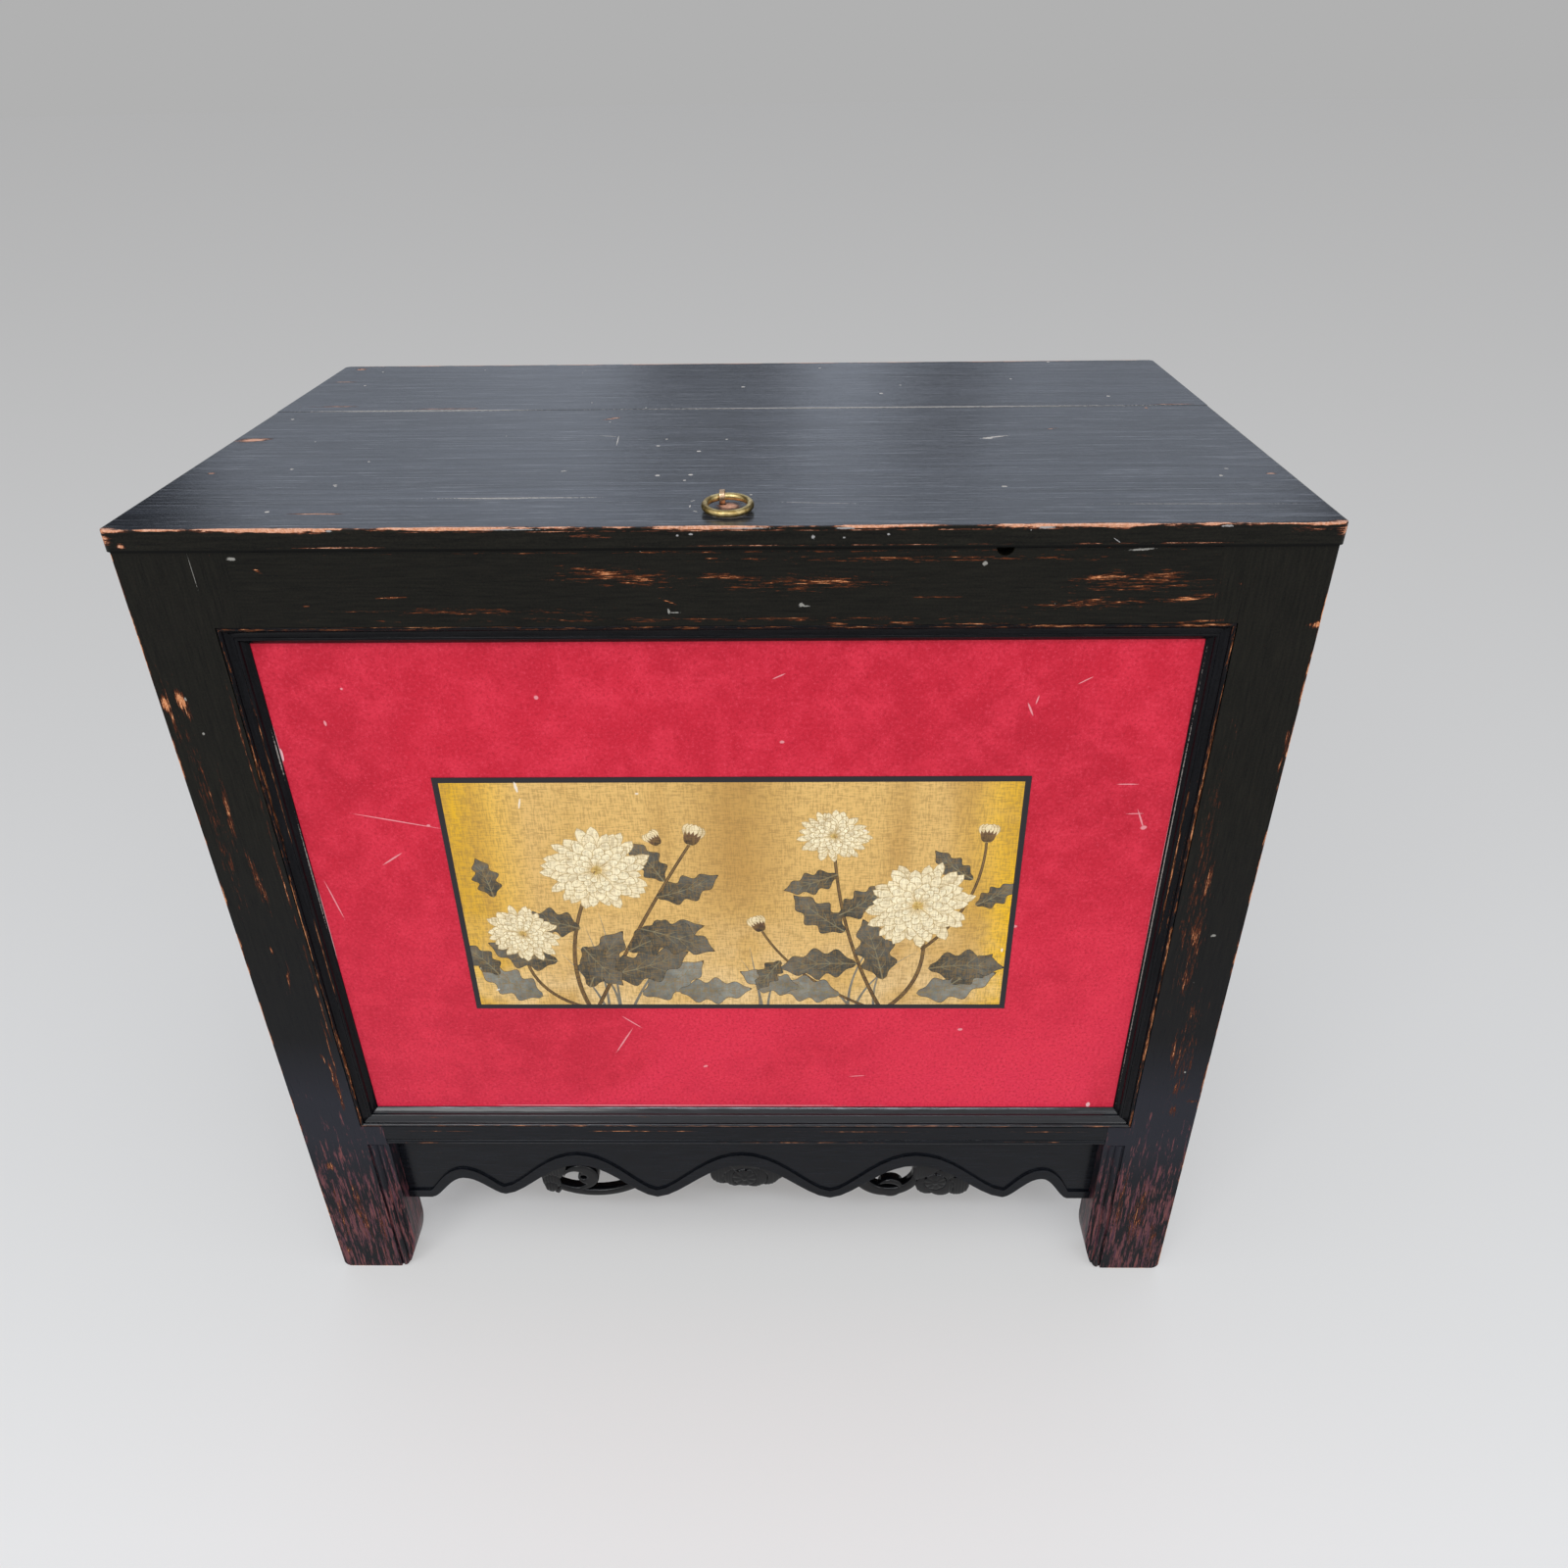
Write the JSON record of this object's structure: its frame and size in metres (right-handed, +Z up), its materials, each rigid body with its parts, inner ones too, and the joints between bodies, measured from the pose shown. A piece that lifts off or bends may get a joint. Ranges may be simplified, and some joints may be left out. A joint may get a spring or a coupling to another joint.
{
  "type": "lacquer chest",
  "caption": "Storage chest in black lacquer on four legs, with a red front panel, a pierced apron and a hinged lid lifted by a ring pull.",
  "frame": {"origin": "middle of the bounding box's footprint, at floor level under the feet", "axes": "+X to the right seen from the front, +Y to the back, +Z up; the red front panel faces -Y"},
  "size_m": [0.96, 0.5884, 0.9117],
  "materials": {
    "black_lacquer": "rubbed satin lacquer over red-brown ground, worn through at the edges",
    "red_lacquer": "satin red lacquer with fine scratches",
    "picture_print": "printed paper on the panel under clear lacquer",
    "bare_wood": "aged unfinished elm, planed",
    "bamboo": "split bamboo",
    "aged_brass": "aged brass, polished where it is handled",
    "forged_iron": "dark forged iron"
  },
  "bodies": {
    "case": {"post_front_left": "black_lacquer", "post_front_right": "black_lacquer", "post_rear_left": "black_lacquer", "post_rear_right": "black_lacquer", "front_top_rail": "black_lacquer", "front_bottom_rail": "black_lacquer", "rear_top_rail": "black_lacquer", "rear_bottom_rail": "black_lacquer", "side_top_rail_left": "black_lacquer", "side_top_rail_right": "black_lacquer", "side_bottom_rail_left": "black_lacquer", "side_bottom_rail_right": "black_lacquer", "rail_pegs": "bamboo", "front_panel": "red_lacquer", "picture_sheet": "picture_print", "moulding_top": "black_lacquer", "moulding_bottom": "black_lacquer", "moulding_left": "black_lacquer", "moulding_right": "black_lacquer", "side_panel_left": "black_lacquer", "side_panel_right": "black_lacquer", "back_board_left": "bare_wood", "back_board_middle": "bare_wood", "back_board_right": "bare_wood", "floor_batten_left": "bare_wood", "floor_batten_right": "bare_wood", "floor_board_front": "bare_wood", "floor_board_middle": "bare_wood", "floor_board_rear": "bare_wood", "apron": "black_lacquer", "carving_left": "black_lacquer", "carving_middle": "black_lacquer", "carving_right": "black_lacquer", "hinge_case_leaf_left": "aged_brass", "hinge_case_leaf_right": "aged_brass", "hinge_pin_left": "aged_brass", "hinge_pin_right": "aged_brass", "hinge_case_screws": "aged_brass"},
    "lid": {"lid_board_front": "black_lacquer", "lid_board_rear": "black_lacquer", "lid_batten_left": "bare_wood", "lid_batten_right": "bare_wood", "lid_nails": "forged_iron", "hinge_lid_leaf_left": "aged_brass", "hinge_lid_leaf_right": "aged_brass", "hinge_lid_screws": "aged_brass", "ring_staple": "aged_brass"},
    "ring": {"ring_pull": "aged_brass"}
  },
  "joints": [
    {"name": "lid_hinge", "type": "hinge", "parent": "case", "child": "lid", "pos_m": [0, 0.2902, 0.8815], "axis": [-1, 0, 0], "range_deg": [0, 100]},
    {"name": "ring_swing", "type": "hinge", "parent": "lid", "child": "ring", "pos_m": [0, -0.2402, 0.90596], "axis": [-1, 0, 0], "range_deg": [0, 188]}
  ]
}
